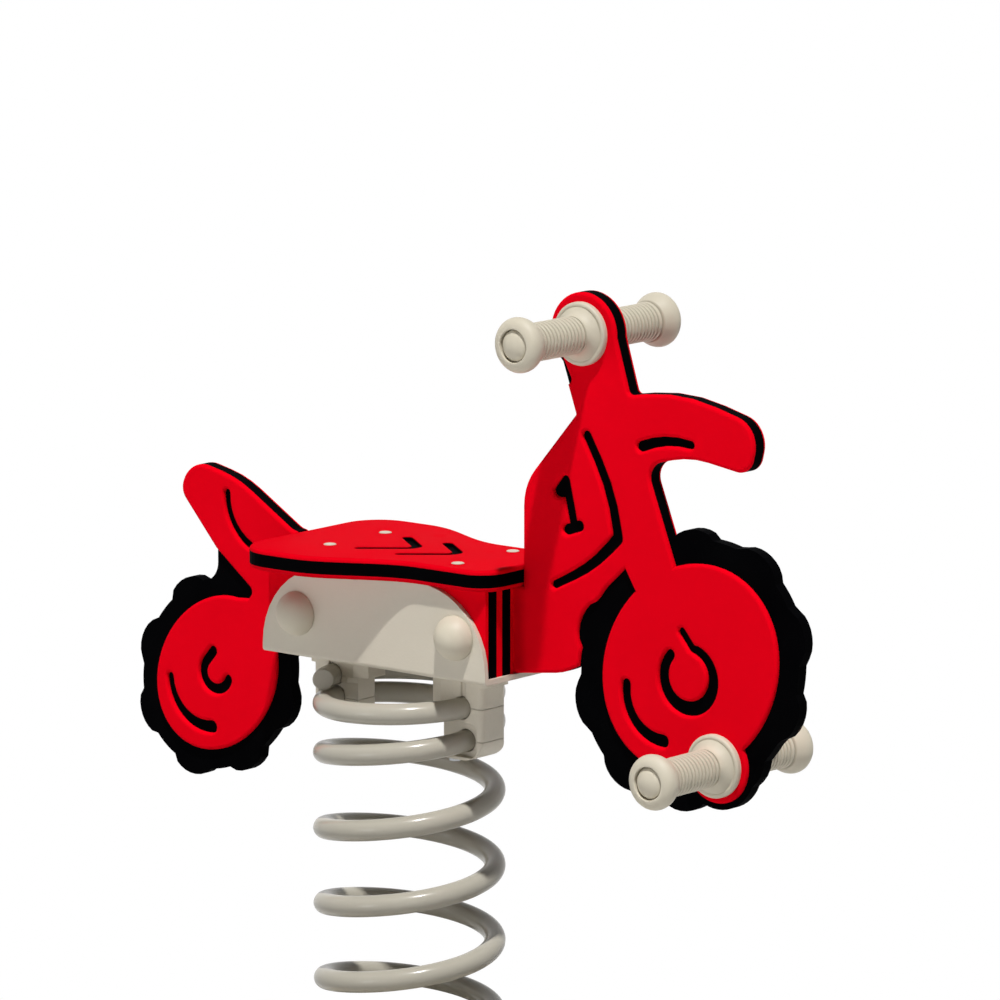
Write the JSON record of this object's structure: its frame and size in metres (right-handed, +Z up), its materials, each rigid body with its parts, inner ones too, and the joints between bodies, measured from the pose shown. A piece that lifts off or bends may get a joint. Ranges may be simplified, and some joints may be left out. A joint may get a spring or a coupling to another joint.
{
  "type": "spring rider",
  "caption": "Playground spring rider shaped like a small motorbike: routed three-layer sheets with a flat seat, handles and footrests on a clamped coil spring and base plate.",
  "frame": {"origin": "middle of the base plate's underside, at ground level on the coil's axis", "axes": "+X towards the front wheel, +Y to the rider's left, +Z up along the coil"},
  "size_m": [0.7953, 0.3, 0.7826],
  "materials": {
    "red_sheet": "fine-grained coloured outer layer of a co-extruded sheet",
    "black_sheet": "machined core layer of a co-extruded sheet",
    "powder_coat": "satin powder coat on steel plate",
    "cast_jaw": "painted casting",
    "spring_coating": "glossy coat on spring steel",
    "beige_plastic": "satin moulded plastic",
    "zinc_steel": "zinc plated"
  },
  "bodies": {
    "base": {"base_plate": "powder_coat", "base_front_foot_jaw": "cast_jaw", "base_front_middle_jaw": "cast_jaw", "base_front_toe_jaw": "cast_jaw", "base_rear_foot_jaw": "cast_jaw", "base_rear_middle_jaw": "cast_jaw", "base_rear_toe_jaw": "cast_jaw", "base_clamp_bolts": "zinc_steel"},
    "coil": {"spring": "spring_coating"},
    "rider": {"top_front_foot_jaw": "cast_jaw", "top_front_middle_jaw": "cast_jaw", "top_front_toe_jaw": "cast_jaw", "top_rear_foot_jaw": "cast_jaw", "top_rear_middle_jaw": "cast_jaw", "top_rear_toe_jaw": "cast_jaw", "top_clamp_bolts": "zinc_steel", "saddle_bracket": "powder_coat", "through_bolts": "zinc_steel", "right_front_bolt_cap": "beige_plastic", "right_rear_bolt_cap": "beige_plastic", "left_front_bolt_cap": "beige_plastic", "left_rear_bolt_cap": "beige_plastic", "main_panel_core": "black_sheet", "main_panel_right_skin": "red_sheet", "main_panel_left_skin": "red_sheet", "right_inner_spacer_core": "black_sheet", "right_inner_spacer_skins": "red_sheet", "right_outer_spacer_core": "black_sheet", "right_outer_spacer_skins": "red_sheet", "left_inner_spacer_core": "black_sheet", "left_inner_spacer_skins": "red_sheet", "left_outer_spacer_core": "black_sheet", "left_outer_spacer_skins": "red_sheet", "seat_core": "black_sheet", "seat_top_skin": "red_sheet", "seat_bottom_skin": "red_sheet", "seat_screws": "zinc_steel", "handle_rod": "zinc_steel", "footrest_rod": "zinc_steel", "rod_nuts": "zinc_steel", "right_handle_grip": "beige_plastic", "left_handle_grip": "beige_plastic", "right_footrest_grip": "beige_plastic", "left_footrest_grip": "beige_plastic", "right_handle_button": "beige_plastic", "left_handle_button": "beige_plastic", "right_footrest_button": "beige_plastic", "left_footrest_button": "beige_plastic"}
  },
  "joints": [
    {"name": "rock_fore_aft", "type": "hinge", "parent": "base", "child": "coil", "pos_m": [0, 0, 0.21355], "axis": [0, 1, 0], "range_deg": [-20, 20], "stiffness_Nm_per_rad": 600, "deforming": ["spring"]},
    {"name": "rock_sideways", "type": "hinge", "parent": "coil", "child": "rider", "pos_m": [0, 0, 0.21355], "axis": [1, 0, 0], "range_deg": [-15, 15], "stiffness_Nm_per_rad": 600, "deforming": ["spring"]}
  ]
}
